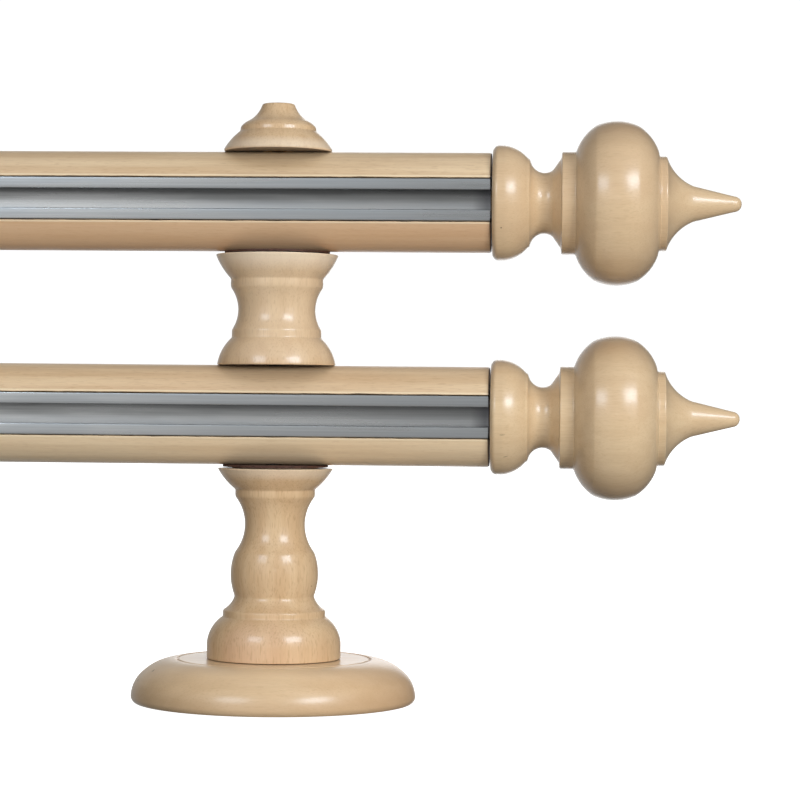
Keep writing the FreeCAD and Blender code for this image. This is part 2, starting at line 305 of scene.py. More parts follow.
@dataclass
class TurnedPiece:
    """Solid of revolution with an outline and the inner walls that its outline leaves out.

    The inside follows the outline where a bore runs through, back to its start. Where the end is solid it
    comes before the outline: from the axis at the hole's end, and out to the outline's start.
    """

    outline: Outline
    inside: tuple[tuple[float, float], ...]
    segments: int = 128

    def profile(self) -> np.ndarray:
        """Line round the solid: a loop where a bore runs through, or else from the axis to the axis."""
        outer = self.outline.softened()
        inner = np.array(self.inside, dtype=float).reshape(-1, 2)
        return np.concatenate([inner, outer] if self.outline.solid_end else [outer, inner])

    def along(self, rows: np.ndarray, angle: np.ndarray) -> np.ndarray:
        """Distance along the axis of each point of the grid, in metres."""
        return np.repeat(rows[:, :1], angle.shape[1], axis=1)

    def surface(self, spindle: Spindle) -> tuple[np.ndarray, list]:
        """Turns the profile about its axis.

        A point (along, radius) of the profile and a turn t give the place base + along * axis +
        radius * (cos t * across + sin t * third). A profile from axis to axis has one vertex on the axis
        at each end, with a fan round it.

        Args:
            spindle: The axis in the frame.

        Returns:
            The surface's points and faces.
        """
        profile = self.profile() * MM
        solid = self.outline.solid_end
        rows = profile[1:-1] if solid else profile
        turn = np.linspace(0.0, 2 * math.pi, self.segments, endpoint=False)
        radius, angle = np.meshgrid(rows[:, 1], turn, indexing="ij")
        points = spindle.place(self.along(rows, angle), radius, angle).reshape(-1, 3)
        faces = grid_faces(len(rows), self.segments, not solid).tolist()
        if solid:
            first, last = len(points), len(points) - self.segments
            ends = self.along(profile[[0, -1]], angle[:2])[:, 0]
            points = np.concatenate([points, spindle.place(ends, np.zeros(2), np.zeros(2))])
            following = np.roll(np.arange(self.segments), -1).tolist()
            faces += [(there, here, first) for here, there in enumerate(following)]
            faces += [(last + here, last + there, first + 1) for here, there in enumerate(following)]
        return points, faces

    def build(self, name: str, spindle: Spindle) -> Object:
        """The surface as a new object of the given name."""
        return new_piece(name, *self.surface(spindle))


@dataclass
class CrossHeadScrew(TurnedPiece):
    """Countersunk screw with a low dome and a cross recess in its head."""

    head: float = 2.4
    proud: float = 0.07
    arm: float = 1.35
    half_width: float = 0.36
    depth: float = 0.55
    side_slope: float = 0.15
    end_slope: float = 0.25
    plain_rim: float = 0.1

    def along(self, rows: np.ndarray, angle: np.ndarray) -> np.ndarray:
        """Raises the head as one minus the squared radius, and sinks the two arms of the cross."""
        radius = rows[:, 1:] / MM
        across = np.abs(radius * np.cos(angle))
        upright = np.abs(radius * np.sin(angle))
        narrow, wide = np.minimum(across, upright), np.maximum(across, upright)
        sunk = (np.clip((self.half_width - narrow) / self.side_slope, 0.0, 1.0)
                * np.clip((self.arm - wide) / self.end_slope, 0.0, 1.0))
        on_head = (rows[:, :1] < 1e-6) & (radius < self.head - self.plain_rim)
        lift = self.depth * sunk - self.proud * (1.0 - (radius / self.head) ** 2)
        return rows[:, :1] + np.where(on_head, lift, 0.0) * MM


class NodeSheet:
    """Adds and joins the nodes of one tree."""

    def __init__(self, tree: NodeTree) -> None:
        """Takes the tree to write on."""
        self.tree = tree

    def put(self, socket: NodeSocket, value: object) -> None:
        """Joins a socket to another, or sets its plain value."""
        if isinstance(value, NodeSocket):
            self.tree.links.new(value, socket)
        elif value is not None:
            socket.default_value = value

    def node(self, kind: str, inputs: dict | None = None, **settings: object) -> Node:
        """New node.

        Args:
            kind: Blender's name of the node.
            inputs: Values or sockets by the input's name or number.
            settings: The node's own settings.

        Returns:
            The node.
        """
        made = self.tree.nodes.new(kind)
        for key, value in settings.items():
            setattr(made, key, value)
        for key, value in (inputs or {}).items():
            self.put(made.inputs[key], value)
        return made

    def calc(self, operation: str, first: object, *others: object,
             clamp: bool = False) -> NodeSocket:
        """Result of a sum on one number, or on several from left to right.

        Args:
            operation: Blender's name of the sum.
            first: The first number.
            others: The numbers that follow, one sum each.
            clamp: Whether each result is kept between zero and one.

        Returns:
            The last result.
        """
        for other in others or (None,):
            first = self.node("ShaderNodeMath", {0: first, 1: other}, operation=operation,
                              use_clamp=clamp).outputs[0]
        return first

    def times(self, *values: object) -> NodeSocket:
        """Product of two or more numbers."""
        return self.calc("MULTIPLY", *values)

    def vectors(self, operation: str, inputs: dict, result: str = "Vector") -> NodeSocket:
        """Result of a sum on vectors."""
        return self.node("ShaderNodeVectorMath", inputs, operation=operation).outputs[result]

    def noise(self, vector: object, factors: Triple, detail: float = 2.0, roughness: float = 0.5,
              distortion: float = 0.0) -> NodeSocket:
        """Cloudy pattern, with as many clouds to a metre along each axis as its factor says."""
        made = self.node("ShaderNodeTexNoise", {
            "Vector": self.vectors("MULTIPLY", {0: vector, 1: factors}), "Scale": 1.0,
            "Detail": detail, "Roughness": roughness, "Distortion": distortion})
        return made.outputs["Fac"]

    def between(self, value: object, low: float, high: float, start: float = 0.0,
                end: float = 1.0) -> NodeSocket:
        """Smooth rise from start to end as the value goes from low to high."""
        made = self.node("ShaderNodeMapRange", {"Value": value, "From Min": low, "From Max": high,
                                                "To Min": start, "To Max": end},
                         interpolation_type="SMOOTHSTEP")
        return made.outputs["Result"]

    def blend(self, share: object, first: object, second: object,
              kind: str = "MIX") -> NodeSocket:
        """Colour between two colours."""
        made = self.node("ShaderNodeMix", {0: share, 6: opaque(first), 7: opaque(second)},
                         data_type="RGBA", blend_type=kind)
        return made.outputs[2]


def opaque(colour: object) -> object:
    """A plain colour with its fourth channel; a socket stays as it is."""
    return (*colour, 1.0) if isinstance(colour, tuple) and len(colour) == 3 else colour


class Kind(Enum):
    """What a socket of a node group carries."""

    VECTOR = "NodeSocketVector"
    COLOUR = "NodeSocketColor"
    NUMBER = "NodeSocketFloat"


class Effect:
    """Node group that several materials share, built once and kept under its name."""

    built: dict[str, NodeTree] = {}
    name = ""
    takes: dict[str, Kind] = {}
    gives: dict[str, Kind] = {}

    @classmethod
    def tree(cls) -> NodeTree:
        """The group's tree, made at its first use."""
        if cls.name not in Effect.built:
            tree = bpy.data.node_groups.new(cls.name, "ShaderNodeTree")
            for way, sockets in (("INPUT", cls.takes), ("OUTPUT", cls.gives)):
                for name, kind in sockets.items():
                    tree.interface.new_socket(name, in_out=way, socket_type=kind.value)
            sheet = NodeSheet(tree)
            sheet.node("NodeGroupOutput", cls.draw(sheet, sheet.node("NodeGroupInput").outputs))
            Effect.built[cls.name] = tree
        return Effect.built[cls.name]

    @classmethod
    def draw(cls, sheet: NodeSheet, given: NodeOutputs) -> dict:
        """The group's nodes; returns its results by name."""
        raise NotImplementedError

    @classmethod
    def use(cls, sheet: NodeSheet, inputs: dict) -> NodeOutputs:
        """Results of the group as one node of a material."""
        return sheet.node("ShaderNodeGroup", inputs, node_tree=cls.tree()).outputs


class BeechFigure(Effect):
    """Beech seen close: short darker rays along the fibres, faint growth bands and a pinkish cast.

    The vector comes in metres with the fibres along its Z.
    """

    name = "beech_figure"
    takes = {"Vector": Kind.VECTOR, "Pale": Kind.COLOUR, "Warm": Kind.COLOUR, "Ray": Kind.COLOUR,
             "Pink": Kind.COLOUR, "Rays": Kind.NUMBER, "Bands": Kind.NUMBER}
    gives = {"Color": Kind.COLOUR, "Height": Kind.NUMBER}

    @classmethod
    def draw(cls, sheet: NodeSheet, given: NodeOutputs) -> dict:
        """Stretched clouds for the bands, cut off at a height for the rays."""
        vector = given["Vector"]
        bands = sheet.noise(vector, (330.0, 210.0, 9.0), 4.0, 0.55, 0.4)
        broad = sheet.noise(vector, (38.0, 30.0, 4.5))
        rays = sheet.noise(vector, (2600.0, 2600.0, 360.0), 1.0, 0.4)
        long_rays = sheet.noise(vector, (2100.0, 2100.0, 130.0))
        fibres = sheet.noise(vector, (4200.0, 4200.0, 120.0), 3.0, 0.6)
        band_share = sheet.times(sheet.between(bands, 0.36, 0.66), given["Bands"])
        wood = sheet.blend(band_share, given["Pale"], given["Warm"])
        wood = sheet.blend(sheet.between(broad, 0.46, 0.7, 0.0, 0.5), wood, given["Pink"])
        mask = sheet.calc("MAXIMUM", sheet.between(rays, 0.56, 0.7),
                          sheet.between(long_rays, 0.56, 0.7, 0.0, 0.6))
        wood = sheet.blend(sheet.times(mask, given["Rays"]), wood, given["Ray"])
        shade = sheet.between(fibres, 0.3, 0.7, 0.965, 1.02)
        grey = sheet.node("ShaderNodeCombineColor", dict.fromkeys(range(3), shade)).outputs[0]
        height = sheet.calc("SUBTRACT", sheet.times(fibres, 0.35), sheet.times(mask, 0.5))
        return {"Color": sheet.blend(1.0, wood, grey, "MULTIPLY"), "Height": height}


class Lacquer(Effect):
    """Brushed varnish over the grain: a faint orange peel, longer waves and the chisel's rings."""

    name = "lacquer"
    takes = {"Vector": Kind.VECTOR, "Grain height": Kind.NUMBER, "Roughness": Kind.NUMBER,
             "Turning": Kind.NUMBER}
    gives = {"Height": Kind.NUMBER, "Roughness": Kind.NUMBER}

    @classmethod
    def draw(cls, sheet: NodeSheet, given: NodeOutputs) -> dict:
        """Sums the clouds, the grain and the rings; the roughness drifts with the waves."""
        vector = given["Vector"]
        peel = sheet.noise(vector, (900.0, 900.0, 420.0))
        waves = sheet.noise(vector, (160.0, 160.0, 60.0))
        rings = sheet.noise(vector, (12.0, 12.0, 1300.0))
        height = sheet.calc("ADD", *(sheet.times(part, share) for part, share in (
            (peel, 0.45), (waves, 0.9), (given["Grain height"], 0.55), (rings, given["Turning"]))))
        drift = sheet.between(waves, 0.3, 0.7, 0.85, 1.15)
        return {"Height": height, "Roughness": sheet.times(given["Roughness"], drift)}


class Mark(Effect):
    """Small dent, nick or scratch: a mask that falls off with the distance from a short line."""

    name = "mark"
    takes = {"Vector": Kind.VECTOR, "Place": Kind.VECTOR, "Reach": Kind.VECTOR, "Size": Kind.NUMBER}
    gives = {"Mask": Kind.NUMBER}

    @classmethod
    def draw(cls, sheet: NodeSheet, given: NodeOutputs) -> dict:
        """One minus the distance over the size, with a ragged rim.

        The nearest point of the line lies at a share of its reach: the offset's product with the reach
        over the reach's square, kept between zero and one.
        """
        vector, reach = given["Vector"], given["Reach"]
        rim = sheet.noise(vector, (2600.0, 2600.0, 2600.0), 2.0, 0.6)
        offset = sheet.vectors("SUBTRACT", {0: vector, 1: given["Place"]})
        dots = [sheet.vectors("DOT_PRODUCT", {0: first, 1: reach}, "Value") for first in (offset, reach)]
        nearest = sheet.vectors("SCALE", {0: reach, "Scale": sheet.calc("DIVIDE", *dots, clamp=True)})
        distance = sheet.vectors("DISTANCE", {0: offset, 1: nearest}, "Value")
        ragged = sheet.calc("ADD", sheet.calc("DIVIDE", distance, given["Size"]),
                            sheet.between(rim, 0.2, 0.8, -0.35, 0.35))
        return {"Mask": sheet.between(ragged, 0.55, 1.0, 1.0, 0.0)}


class Layer(Effect):
    """Mask of what lies in a box of the frame, with soft borders."""

    name = "layer"
    takes = {"Vector": Kind.VECTOR, "Low": Kind.VECTOR, "High": Kind.VECTOR, "Soft": Kind.NUMBER}
    gives = {"Mask": Kind.NUMBER}

    @classmethod
    def draw(cls, sheet: NodeSheet, given: NodeOutputs) -> dict:
        """Product of a rise past each low border and a fall before each high one."""
        mask = 1.0
        for first, second in (("Vector", "Low"), ("High", "Vector")):
            gaps = sheet.vectors("SUBTRACT", {0: given[first], 1: given[second]})
            parts = sheet.node("ShaderNodeSeparateXYZ", {0: gaps}).outputs
            for axis in "XYZ":
                share = sheet.calc("DIVIDE", parts[axis], given["Soft"])
                mask = sheet.times(mask, sheet.calc("ADD", share, 0.5, clamp=True))
        return {"Mask": mask}


@dataclass(frozen=True)
class Streak:
    """Another colour between two heights in the frame, such as a warm streak, painted shade in a seam or a
    painted highlight on a rim.
    """

    low: float
    high: float
    colour: Colour
    share: float
    soft: float
    depth: tuple[float, float] = (-1.0, 1.0)
    across: tuple[float, float] = (-2.0, 2.0)

    def mask(self, sheet: NodeSheet, places: NodeSocket) -> NodeSocket:
        """Share of the streak's colour at each place."""
        low, high = ((self.across[end], self.depth[end], height)
                     for end, height in enumerate((self.low, self.high)))
        layer = Layer.use(sheet, {"Vector": places, "Low": low, "High": high, "Soft": self.soft})
        return sheet.times(layer["Mask"], self.share)


@dataclass(frozen=True)
class Speck:
    """One mark on the wood: its place in the frame, its size and how strong and deep it is."""

    place: Triple
    size: float
    share: float = 0.6
    deep: float = 1.0
    reach: Triple = (0.0, 0.0, 0.0)
    colour: Colour = srgb(92, 62, 42)


@dataclass(frozen=True)
class Surface:
    """What a finish draws: its colour, roughness and height, and the shader's plain values.

    The bump is the share of the relief that shows, and the relief's depth is in millimetres.
    """

    colour: NodeSocket
    roughness: NodeSocket
    height: NodeSocket
    bump: float
    depth: float
    plain: dict[str, float] = field(default_factory=dict)


@dataclass(frozen=True)
class Finish:
    """Look of one material on Object coordinates, with its streaks and then its specks over it."""

    name: str
    streaks: tuple[Streak, ...] = field(default=(), kw_only=True)
    specks: tuple[Speck, ...] = field(default=(), kw_only=True)

    SPECK_RELIEF = 6.0

    def draw(self, sheet: NodeSheet, places: NodeSocket) -> Surface:
        """The finish without its streaks and specks."""
        raise NotImplementedError

    def material(self) -> Material:
        """The finish as a material."""
        made = bpy.data.materials.new(self.name)
        made.use_nodes = True
        sheet = NodeSheet(made.node_tree)
        places = sheet.node("ShaderNodeTexCoord").outputs["Object"]
        surface = self.draw(sheet, places)
        colour, height = surface.colour, surface.height
        for streak in self.streaks:
            colour = sheet.blend(streak.mask(sheet, places), colour, streak.colour)
        for speck in self.specks:
            mask = Mark.use(sheet, {"Vector": places, "Place": speck.place, "Reach": speck.reach,
                                    "Size": speck.size})["Mask"]
            colour = sheet.blend(sheet.times(mask, speck.share), colour, speck.colour)
            sunk = sheet.times(mask, self.SPECK_RELIEF * speck.deep)
            height = sheet.calc("SUBTRACT", height, sunk)
        bump = sheet.node("ShaderNodeBump", {"Height": height, "Strength": surface.bump,
                                             "Distance": surface.depth * MM})
        shader = made.node_tree.nodes["Principled BSDF"]
        for name, socket in (("Base Color", colour), ("Roughness", surface.roughness),
                             ("Normal", bump.outputs["Normal"])):
            sheet.put(shader.inputs[name], socket)
        for name, value in surface.plain.items():
            shader.inputs[name].default_value = value
        return made


@dataclass(frozen=True)
class BeechFinish(Finish):
    """Beech under a semi-gloss varnish."""

    grain: Grain
    shift: Triple
    pale: Colour = srgb(222, 192, 152)
    warm: Colour = srgb(208, 173, 131)
    ray: Colour = srgb(176, 136, 96)
    pink: Colour = srgb(216, 176, 145)
    rays: float = 0.5
    bands: float = 0.6
    roughness: float = 0.42
    coat: float = 0.75
    coat_roughness: float = 0.18
    bump: float = 0.35
    turning: float = 0.0

    def draw(self, sheet: NodeSheet, places: NodeSocket) -> Surface:
        """Wood figure, turned to the piece's fibres, under its varnish."""
        turn = tuple(math.radians(angle) for angle in self.grain.value)
        vector = sheet.node("ShaderNodeMapping", {"Vector": places, "Location": self.shift,
                                                  "Rotation": turn}).outputs["Vector"]
        figure = BeechFigure.use(sheet, {
            "Vector": vector, "Pale": opaque(self.pale), "Warm": opaque(self.warm),
            "Ray": opaque(self.ray), "Pink": opaque(self.pink), "Rays": self.rays, "Bands": self.bands})
        varnish = Lacquer.use(sheet, {"Vector": vector, "Grain height": figure["Height"],
                                      "Roughness": self.roughness, "Turning": self.turning})
        return Surface(figure["Color"], varnish["Roughness"], varnish["Height"], self.bump, 0.05,
                       {"Coat Weight": self.coat, "Coat Roughness": self.coat_roughness,
                        "Specular IOR Level": 0.4})


@dataclass(frozen=True)
class AluminiumFinish(Finish):
    """Mill-finish extrusion: lines along its length, soft grey bloom and a few light scratches."""

    light: Colour = (0.608, 0.62, 0.618)
    dull: Colour = (0.434, 0.446, 0.45)
    scratched: Colour = (0.72, 0.72, 0.71)
    roughness: float = 0.3

    def draw(self, sheet: NodeSheet, places: NodeSocket) -> Surface:
        """Stretched clouds for lines and bloom, and slanted ones cut off high for the scratches."""
        lines = sheet.noise(places, (14.0, 2600.0, 2600.0), 3.0, 0.6)
        fine = sheet.noise(places, (60.0, 9000.0, 9000.0))
        bloom = sheet.noise(places, (22.0, 260.0, 260.0), 3.0, 0.6)
        slanted = sheet.node("ShaderNodeMapping", {"Vector": places,
                                                   "Rotation": (0.0, math.radians(24), 0.0)})
        scratches = sheet.noise(slanted.outputs[0], (90.0, 500.0, 5200.0), 1.0, 0.4)
        scratch = sheet.between(scratches, 0.76, 0.82)
        share = sheet.calc("ADD", sheet.between(lines, 0.3, 0.7, 0.0, 0.45),
                           sheet.between(bloom, 0.35, 0.7, 0.0, 0.45))
        metal = sheet.blend(share, self.light, self.dull)
        colour = sheet.blend(sheet.times(scratch, 0.1), metal, self.scratched)
        relief = sheet.calc("ADD", lines, sheet.times(fine, 0.5))
        height = sheet.calc("SUBTRACT", relief, sheet.times(scratch, 0.4))
        roughness = sheet.between(bloom, 0.3, 0.7, self.roughness - 0.05, self.roughness + 0.08)
        return Surface(colour, roughness, height, 0.2, 0.02, METAL)


@dataclass(frozen=True)
class PlatedFinish(Finish):
    """Small turned or pressed metal piece with a cloudy plated surface."""

    light: Colour
    dark: Colour
    roughness: float = 0.34

    def draw(self, sheet: NodeSheet, places: NodeSocket) -> Surface:
        """Clouds for the colour and the roughness, over fine grit."""
        clouds = sheet.noise(places, (420.0, 420.0, 420.0), 4.0, 0.6)
        grit = sheet.noise(places, (5200.0, 5200.0, 5200.0))
        colour = sheet.blend(sheet.between(clouds, 0.35, 0.68), self.light, self.dark)
        roughness = sheet.between(clouds, 0.3, 0.7, self.roughness, self.roughness + 0.14)
        return Surface(colour, roughness, grit, 0.25, 0.02, METAL)


@dataclass(frozen=True)
class MattFinish(Finish):
    """Unvarnished or fibrous piece: raw wood or leather with a cloudy colour and a fine grain."""

    light: Colour
    dark: Colour
    stretch: Triple
    roughness: float = 0.7

    def draw(self, sheet: NodeSheet, places: NodeSocket) -> Surface:
        """Stretched clouds for the colour, the roughness and the relief."""
        fibres = sheet.noise(places, self.stretch, 4.0, 0.6)
        colour = sheet.blend(sheet.between(fibres, 0.32, 0.7), self.light, self.dark)
        roughness = sheet.between(fibres, 0.3, 0.7, self.roughness - 0.08, self.roughness + 0.08)
        return Surface(colour, roughness, fibres, 0.5, 0.08)


@dataclass
class Workshop:
    """Materials by the record's slot, and the last step that every piece goes through."""

    finishes: dict[str, Finish]
    made: dict[str, Material] = field(default_factory=dict)

    def material(self, slot: str) -> Material:
        """The slot's material, made at its first use."""
        if slot not in self.made:
            self.made[slot] = self.finishes[slot].material()
        return self.made[slot]

    def dress(self, piece: Object, slot: str) -> None:
        """Gives a piece the slot's material in place of what it had."""
        piece.data.materials.clear()
        piece.data.materials.append(self.material(slot))

    def fit(self, piece: Object, slot: str, *nodes: str) -> None:
        """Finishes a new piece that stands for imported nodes.

        Args:
            piece: The new object.
            slot: The record's slot that its finish comes from.
            nodes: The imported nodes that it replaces.
        """
        self.dress(piece, slot)
        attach(piece, BODY)
        if nodes:
            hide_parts(*nodes)
        LOG.info("%s: %d faces for %s", piece.name, len(piece.data.polygons), ", ".join(nodes))


def node_box(name: str) -> tuple[np.ndarray, np.ndarray]:
    """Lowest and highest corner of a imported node, in metres."""
    low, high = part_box(name)
    return np.array(low), np.array(high)


@dataclass
class Bracket:
    """Turned rosette, stem, spacer and cap of one bracket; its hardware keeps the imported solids."""

    side: str
    bore: float = 3.3
    landing_radius: float = 12.0
    landing_rise: float = 0.35
    nut_room: tuple[float, float] = (9.0, 7.1)
    insert_hole: tuple[float, float] = (4.5, 7.8)
    recess: tuple[float, float] = (26.0, 4.5)
    ring_radius: float = 27.1
    ring_width: float = 0.9
    ring_depth: float = 0.5

    def rosette(self) -> TurnedPiece:
        """Wall cover with a fine ring turned into its flat top and a recess in its back."""
        ring, half = self.ring_radius, self.ring_width / 2
        outline = Outline(39.1, (
            Band(1.5, 40.0, Swell.FULL), Band(6.9, 36.6, Swell.FULL), Band(3.6, 28.0, Swell.SOFT),
            Band(0.0, ring + half), Band(-self.ring_depth, ring), Band(self.ring_depth, ring - half)),
            bore=self.bore, edge=0.1)
        radius, depth = self.recess
        return TurnedPiece(outline, ((depth, self.bore), (depth, radius), (0.0, radius)), segments=160)

    def stem(self) -> TurnedPiece:
        """Post with foot, shoulder, bulb, neck and flared rim, hollowed below for the nut."""
        outline = Outline(18.55, (
            Band(0.25, 18.85, Swell.ROUND), Band(4.35, 18.85), Band(7.2, 14.6, Swell.FULL),
            Band(0.0, 14.4), Band(1.9, 14.4), Band(3.9, 11.15, Swell.HOLLOW), Band(12.4, 11.15, Swell.PLUMP),
            Band(15.5, 11.15, Swell.TIGHT), Band(2.0, 11.15, Swell.SLIGHT), Band(6.1, 16.3, Swell.SLIGHT),
            Band(0.0, self.landing_radius), Band(self.landing_rise, self.landing_radius)),
            bore=self.bore, edge=0.32)
        radius, depth = self.nut_room
        return TurnedPiece(outline, ((depth, self.bore), (depth, radius), (0.0, radius)))

    def spacer(self) -> TurnedPiece:
        """Waisted post between the poles."""
        outline = Outline(16.7, (
            Band(7.6, 12.75, Swell.SOFT), Band(0.0, 12.6), Band(2.3, 12.6),
            Band(11.8, 12.9, Swell.WAIST), Band(2.5, 12.9, Swell.SLIGHT), Band(6.9, 17.3, Swell.SLIGHT),
            Band(0.0, self.landing_radius), Band(self.landing_rise, self.landing_radius)),
            bore=self.bore, edge=0.32)
        return TurnedPiece(outline, ())

    def cap(self) -> TurnedPiece:
        """End piece in three tiers with a blind hole for its insert."""
        radius, depth = self.insert_hole
        outline = Outline(15.1, (
            Band(0.6, 15.3), Band(5.2, 10.75, Swell.SLIGHT), Band(1.2, 10.6),
            Band(1.5, 8.9, Swell.SLIGHT), Band(4.5, 4.7, Swell.HOLLOW), Band(0.6, 4.0, Swell.ROUND)),
            bore=radius, solid_end=True)
        return TurnedPiece(outline, ((depth, 0.0), (depth, radius)))

    def build(self, workshop: Workshop) -> None:
        """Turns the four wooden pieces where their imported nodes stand."""
        parts = {"rosette": (self.rosette(), "beech_face"), "stem": (self.stem(), "beech_turned"),
                 "spacer": (self.spacer(), "beech_turned"), "cap": (self.cap(), "beech_turned")}
        for name, (turned, slot) in parts.items():
            node = f"{self.side}_{name}"
            low, high = node_box(node)
            centre = (low + high) / 2
            spindle = Spindle((centre[0], centre[1], low[2]), (0.0, 0.0, 1.0))
            piece = turned.build(f"{node}_turned", spindle)
            workshop.fit(piece, slot, node)


@dataclass
class Finial:
    """Turned end piece of one pole: bell, neck, flange, ball, collar and spike."""

    pole: str
    side: str
    seat: float = 0.25
    dowel_hole: tuple[float, float] = (3.5, 15.05)

    def turned(self) -> TurnedPiece:
        """The outline from the bell's thin seat and face out to the tip, with the dowel's hole."""
        outline = Outline(15.1, (
            Band(self.seat, 15.1), Band(1.6, 16.1, Swell.ROUND), Band(1.4, 16.1),
            Band(6.4, 12.6, Swell.PLUMP), Band(0.6, 12.3), Band(0.3, 11.4), Band(6.2, 9.3, Swell.NECK),
            Band(2.3, 12.6), Band(0.2, 14.35), Band(3.9, 14.35), Band(5.4, 21.65, Swell.SOFT),
            Band(11.9, 21.65, Swell.FULL), Band(5.65, 14.7, Swell.SOFT), Band(0.3, 13.2),
            Band(2.0, 13.2), Band(7.45, 5.0, Swell.DEEP), Band(11.4, 2.2)),
            bore=self.dowel_hole[0], solid_end=True, dome=2.1, edge=0.24)
        radius, depth = self.dowel_hole
        return TurnedPiece(outline, ((depth, 0.0), (depth, radius)), segments=112)

    def build(self, workshop: Workshop) -> None:
        """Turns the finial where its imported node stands."""
        node = f"{self.pole}_{self.side}_finial"
        low, high = node_box(node)
        sign = SIDES[self.side]
        centre = (low + high) / 2
        face = (low[0] if sign > 0 else high[0]) - sign * self.seat * MM
        spindle = Spindle((face, centre[1], centre[2]), (float(sign), 0.0, 0.0))
        piece = self.turned().build(f"{node}_turned", spindle)
        workshop.fit(piece, "beech_finial", node)


def section_line(corners: np.ndarray, edge: float, turn: float = 7.0) -> np.ndarray:
    """Closed cross-section with rounded corners and well placed points, in millimetres.

    Args:
        corners: Points in (y, z), anticlockwise seen from +X.
        edge: Standard deviation of the bell curve that rounds the corners.
        turn: Largest turn between two steps, in degrees.

    Returns:
        The section's points.
    """
    smooth = soften(corners, edge, SECTION_STEP, closed=True)
    return settle_rows(smooth, SECTION_LONGEST, math.radians(turn), closed=True)


def sweep(name: str, rings: np.ndarray) -> Object:
    """Skin over cross-sections that follow each other towards +X, with flat ends.

    Args:
        name: The piece's name.
        rings: Points in metres, as rings by points by three.

    Returns:
        The new object.
    """
    count, around = rings.shape[:2]
    faces = grid_faces(count, around, False).tolist()
    faces.append(list(range(around))[::-1])
    faces.append(list(range((count - 1) * around, count * around)))
    return new_piece(name, rings.reshape(-1, 3), faces)


def inset(loop: np.ndarray, distance: float) -> np.ndarray:
    """An anticlockwise loop moved inwards along its normals."""
    tangent = np.roll(loop, -1, axis=0) - np.roll(loop, 1, axis=0)
    tangent /= np.hypot(*tangent.T)[:, None]
    return loop + distance * np.stack([-tangent[:, 1], tangent[:, 0]], axis=1)


@dataclass
class Pole:
    """Round beech pole with the groove that holds its track."""

    name: str
    groove_half: float = 6.05
    groove_back: float = -4.35
    row: float = 3.0
    edge: float = 0.22
    rim_points: int = 240
    end_round: float = 0.3
    end_inset: float = 0.24
    end_seat: float = 0.2
    lip_wear: float = 0.09
    wear_reach: float = 0.5
    seed: int = 5

    def section(self, radius: float) -> np.ndarray:
        """Circle from one lip round to the other, then the groove's three walls, in millimetres."""
        lip = math.asin(self.groove_half / radius)
        turn = np.linspace(math.pi + lip, 3 * math.pi - lip, self.rim_points)
        rim = radius * np.stack([np.cos(turn), np.sin(turn)], axis=1)
        walls = np.array([[self.groove_back, self.groove_half], [self.groove_back, -self.groove_half]])
        return section_line(np.concatenate([rim, walls]), self.edge)

    def worn(self, loop: np.ndarray, radius: float, count: int) -> np.ndarray:
        """Copies of a section, each worn by its own random amount at the groove's two lips.

        Args:
            loop: The section's points in millimetres.
            radius: The pole's radius in millimetres.
            count: Number of copies.

        Returns:
            The copies, in which the wear falls off as a bell curve of the distance from the lip.
        """
        lip_y = -math.sqrt(radius ** 2 - self.groove_half ** 2)
        reach = np.hypot(loop[:, 0] - lip_y, np.abs(loop[:, 1]) - self.groove_half)
        near_lip = np.exp(-(reach / self.wear_reach) ** 2)
        wear = np.random.default_rng(self.seed).normal(0.0, self.lip_wear, (count, 2))
        upper = loop[:, 1] > 0
        rings = np.repeat(loop[None], count, axis=0)
        rings[:, :, 1] += np.abs(wear[:, :1]) * (near_lip * upper)
        rings[:, :, 1] -= np.abs(wear[:, 1:]) * (near_lip * ~upper)
        return rings

    def build(self, workshop: Workshop) -> None:
        """Carries the section along X, worn at the lips and drawn in at both ends."""
        node = f"{self.name}_pole"
        low, high = node_box(node)
        radius = (high[2] - low[2]) / 2 / MM
        axis_z = (low[2] + high[2]) / 2
        start, end = low[0] / MM, high[0] / MM
        places = np.arange(start + self.end_round, end - self.end_round, self.row)
        stations = np.concatenate([places, [end - self.end_round]])
        rings = self.worn(self.section(radius), radius, len(stations))
        rings = np.concatenate([inset(rings[0], self.end_inset)[None], rings,
                                inset(rings[-1], self.end_inset)[None]])
        stations = np.concatenate([[start - self.end_seat], stations, [end + self.end_seat]])
        along = np.repeat(stations[:, None], rings.shape[1], axis=1)
        points = np.stack([along, rings[:, :, 0], rings[:, :, 1] + axis_z / MM], axis=-1) * MM
        workshop.fit(sweep(f"{node}_grooved", points), "beech_pole", node)


@dataclass
class Track:
    """Aluminium C channel with rounded lips beside its slot."""

    name: str
    wall: float = 1.1
    slot: float = 5.5
    edge: float = 0.2
    row: float = 20.0

    def section(self, low: np.ndarray, high: np.ndarray) -> np.ndarray:
        """The channel's outline in millimetres about the pole's axis."""
        half = (high[2] - low[2]) / 2 / MM
        front, back = low[1] / MM, high[1] / MM
        slot = self.slot / 2
        wall = self.wall
        upper = [(front, slot), (front, half), (back, half)]
        inside = [(back - wall, half - wall), (front + wall, half - wall), (front + wall, slot)]
        mirrored = [(y, -z) for y, z in reversed(upper)]
        within = [(y, -z) for y, z in reversed(inside)]
        return section_line(np.array((upper + mirrored + within + inside)[::-1]), self.edge, 10.0)

    def build(self, workshop: Workshop) -> None:
        """Carries the channel's section along X."""
        node = f"{self.name}_track"
        low, high = node_box(node)
        loop = self.section(low, high)
        stations = np.linspace(low[0], high[0], int((high[0] - low[0]) / MM / self.row) + 1)
        along = np.repeat(stations[:, None], len(loop), axis=1)
        centre = (low[2] + high[2]) / 2
        ring = np.repeat(loop[None] * MM, len(stations), axis=0)
        points = np.stack([along, ring[:, :, 0], ring[:, :, 1] + centre], axis=-1)
        workshop.fit(sweep(f"{node}_channel", points), "aluminium_track", node)


